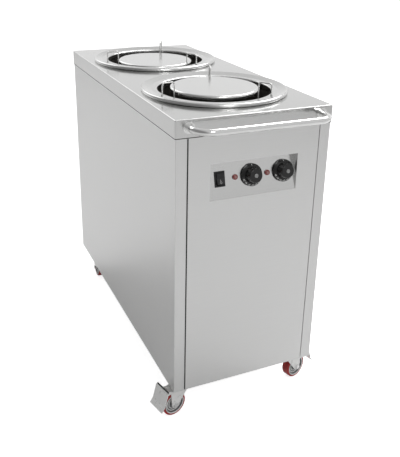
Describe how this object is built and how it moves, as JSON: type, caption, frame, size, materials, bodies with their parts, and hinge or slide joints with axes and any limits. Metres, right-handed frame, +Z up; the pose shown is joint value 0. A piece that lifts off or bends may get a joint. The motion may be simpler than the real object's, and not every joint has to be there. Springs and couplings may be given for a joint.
{
  "type": "heated plate dispenser trolley",
  "caption": "Mobile heated plate dispenser: stainless cabinet on swivel casters with spring-lifted round plate carriers in rimmed wells, a push handle and a recessed control panel.",
  "frame": {"origin": "on the floor, under the middle of the cabinet's plan", "axes": "+X to the right seen from the control side, -Y towards the control side and its handle, +Z up"},
  "size_m": [0.5454, 1.071, 0.935],
  "materials": {
    "brushed_stainless": "satin stainless with a straight grain",
    "polished_steel": "polished stainless",
    "plain_steel": "plain mill finish",
    "dark_steel": "heat-darkened sheath",
    "zinc": "bright zinc plate",
    "black_plastic": "satin black",
    "dark_plastic": "moulded dark brown",
    "grey_plastic": "moulded grey",
    "white_nylon": "natural nylon",
    "red_lens": "clear red lens",
    "red_tread": "cast red polyurethane"
  },
  "bodies": {
    "chassis": {"top_panel": "brushed_stainless", "left_side_panel": "brushed_stainless", "right_side_panel": "brushed_stainless", "front_panel": "brushed_stainless", "back_panel": "brushed_stainless", "base_pan": "brushed_stainless", "corner_posts": "plain_steel", "stem_sockets": "black_plastic", "control_recess": "brushed_stainless", "switch_housing": "black_plastic", "indicator_housings": "black_plastic", "indicator_lenses": "red_lens", "thermostats": "dark_plastic", "push_handle": "polished_steel", "handle_collars": "polished_steel", "handle_bolts": "zinc", "front_ring": "polished_steel", "rear_ring": "polished_steel", "front_tube": "plain_steel", "rear_tube": "plain_steel", "heaters": "dark_steel", "heater_trays": "plain_steel", "power_inlet": "black_plastic", "caster_stems": "zinc"},
    "rocker": {"switch_rocker": "black_plastic"},
    "left_dial": {"left_knob": "black_plastic", "left_spindle": "plain_steel"},
    "right_dial": {"right_knob": "black_plastic", "right_spindle": "plain_steel"},
    "front_lift": {"front_carrier": "brushed_stainless", "front_slides": "white_nylon", "front_springs": "plain_steel"},
    "front_left_loop": {"front_left_guide": "polished_steel"},
    "front_right_loop": {"front_right_guide": "polished_steel"},
    "front_back_loop": {"front_back_guide": "polished_steel"},
    "rear_lift": {"rear_carrier": "brushed_stainless", "rear_slides": "white_nylon", "rear_springs": "plain_steel"},
    "rear_left_loop": {"rear_left_guide": "polished_steel"},
    "rear_right_loop": {"rear_right_guide": "polished_steel"},
    "rear_back_loop": {"rear_back_guide": "polished_steel"},
    "front_left_swivel": {"front_left_fork": "zinc", "front_left_axle": "zinc"},
    "front_left_wheel": {"front_left_hub": "grey_plastic", "front_left_tread": "red_tread"},
    "front_left_brake": {"front_left_brake_pedal": "zinc"},
    "front_right_swivel": {"front_right_fork": "zinc", "front_right_axle": "zinc"},
    "front_right_wheel": {"front_right_hub": "grey_plastic", "front_right_tread": "red_tread"},
    "front_right_brake": {"front_right_brake_pedal": "zinc"},
    "rear_left_swivel": {"rear_left_fork": "zinc", "rear_left_axle": "zinc"},
    "rear_left_wheel": {"rear_left_hub": "grey_plastic", "rear_left_tread": "red_tread"},
    "rear_right_swivel": {"rear_right_fork": "zinc", "rear_right_axle": "zinc"},
    "rear_right_wheel": {"rear_right_hub": "grey_plastic", "rear_right_tread": "red_tread"}
  },
  "joints": [
    {"name": "rocker_tilt", "type": "hinge", "parent": "chassis", "child": "rocker", "pos_m": [-0.095, -0.48332, 0.72394], "axis": [1, 0, 0], "range_deg": [0, 16]},
    {"name": "left_dial_turn", "type": "hinge", "parent": "chassis", "child": "left_dial", "pos_m": [-0.0035, -0.48429, 0.72417], "axis": [0, -0.9737, 0.2279], "range_deg": [-300, 0]},
    {"name": "right_dial_turn", "type": "hinge", "parent": "chassis", "child": "right_dial", "pos_m": [0.0915, -0.48429, 0.72417], "axis": [0, -0.9737, 0.2279], "range_deg": [-300, 0]},
    {"name": "front_lift_slide", "type": "slide", "parent": "chassis", "child": "front_lift", "axis": [0, 0, -1], "range_m": [0, 0.43], "stiffness_N_per_m": 700, "springref_m": -0.04, "deforming": ["front_springs"]},
    {"name": "front_left_guide_swing", "type": "hinge", "parent": "chassis", "child": "front_left_loop", "pos_m": [-0.16939, -0.26987, 0.896], "axis": [0, 0, 1], "range_deg": [-55, 55]},
    {"name": "front_right_guide_swing", "type": "hinge", "parent": "chassis", "child": "front_right_loop", "pos_m": [0.11056, -0.37176, 0.896], "axis": [0, 0, 1], "range_deg": [-55, 55]},
    {"name": "front_back_guide_swing", "type": "hinge", "parent": "chassis", "child": "front_back_loop", "pos_m": [0.05883, -0.07837, 0.896], "axis": [0, 0, 1], "range_deg": [-55, 55]},
    {"name": "rear_lift_slide", "type": "slide", "parent": "chassis", "child": "rear_lift", "axis": [0, 0, -1], "range_m": [0, 0.42], "stiffness_N_per_m": 700, "springref_m": -0.04, "deforming": ["rear_springs"]},
    {"name": "rear_left_guide_swing", "type": "hinge", "parent": "chassis", "child": "rear_left_loop", "pos_m": [-0.17189, 0.234, 0.896], "axis": [0, 0, 1], "range_deg": [-55, 55]},
    {"name": "rear_right_guide_swing", "type": "hinge", "parent": "chassis", "child": "rear_right_loop", "pos_m": [0.09115, 0.09414, 0.896], "axis": [0, 0, 1], "range_deg": [-55, 55]},
    {"name": "rear_back_guide_swing", "type": "hinge", "parent": "chassis", "child": "rear_back_loop", "pos_m": [0.08075, 0.39187, 0.896], "axis": [0, 0, 1], "range_deg": [-55, 55]},
    {"name": "front_left_swivel_turn", "type": "hinge", "parent": "chassis", "child": "front_left_swivel", "pos_m": [-0.179, -0.446, 0.08435], "axis": [0, 0, 1], "continuous": true},
    {"name": "front_left_wheel_spin", "type": "hinge", "parent": "front_left_swivel", "child": "front_left_wheel", "pos_m": [-0.20921, -0.45297, 0.0375], "axis": [-0.225, 0.9744, 0], "continuous": true},
    {"name": "front_left_brake_press", "type": "hinge", "parent": "front_left_swivel", "child": "front_left_brake", "pos_m": [-0.23746, -0.4595, 0.08435], "axis": [0.225, -0.9744, 0], "range_deg": [0, 19]},
    {"name": "front_right_swivel_turn", "type": "hinge", "parent": "chassis", "child": "front_right_swivel", "pos_m": [0.179, -0.446, 0.08435], "axis": [0, 0, 1], "continuous": true},
    {"name": "front_right_wheel_spin", "type": "hinge", "parent": "front_right_swivel", "child": "front_right_wheel", "pos_m": [0.20864, -0.43694, 0.0375], "axis": [0.2924, -0.9563, 0], "continuous": true},
    {"name": "front_right_brake_press", "type": "hinge", "parent": "front_right_swivel", "child": "front_right_brake", "pos_m": [0.23638, -0.42846, 0.08435], "axis": [-0.2924, 0.9563, 0], "range_deg": [0, 19]},
    {"name": "rear_left_swivel_turn", "type": "hinge", "parent": "chassis", "child": "rear_left_swivel", "pos_m": [-0.179, 0.446, 0.08435], "axis": [0, 0, 1], "continuous": true},
    {"name": "rear_left_wheel_spin", "type": "hinge", "parent": "rear_left_swivel", "child": "rear_left_wheel", "pos_m": [-0.179, 0.415, 0.0375], "axis": [-1, 0, 0], "continuous": true},
    {"name": "rear_right_swivel_turn", "type": "hinge", "parent": "chassis", "child": "rear_right_swivel", "pos_m": [0.179, 0.446, 0.08435], "axis": [0, 0, 1], "continuous": true},
    {"name": "rear_right_wheel_spin", "type": "hinge", "parent": "rear_right_swivel", "child": "rear_right_wheel", "pos_m": [0.17469, 0.4153, 0.0375], "axis": [-0.9903, 0.1392, 0], "continuous": true}
  ]
}
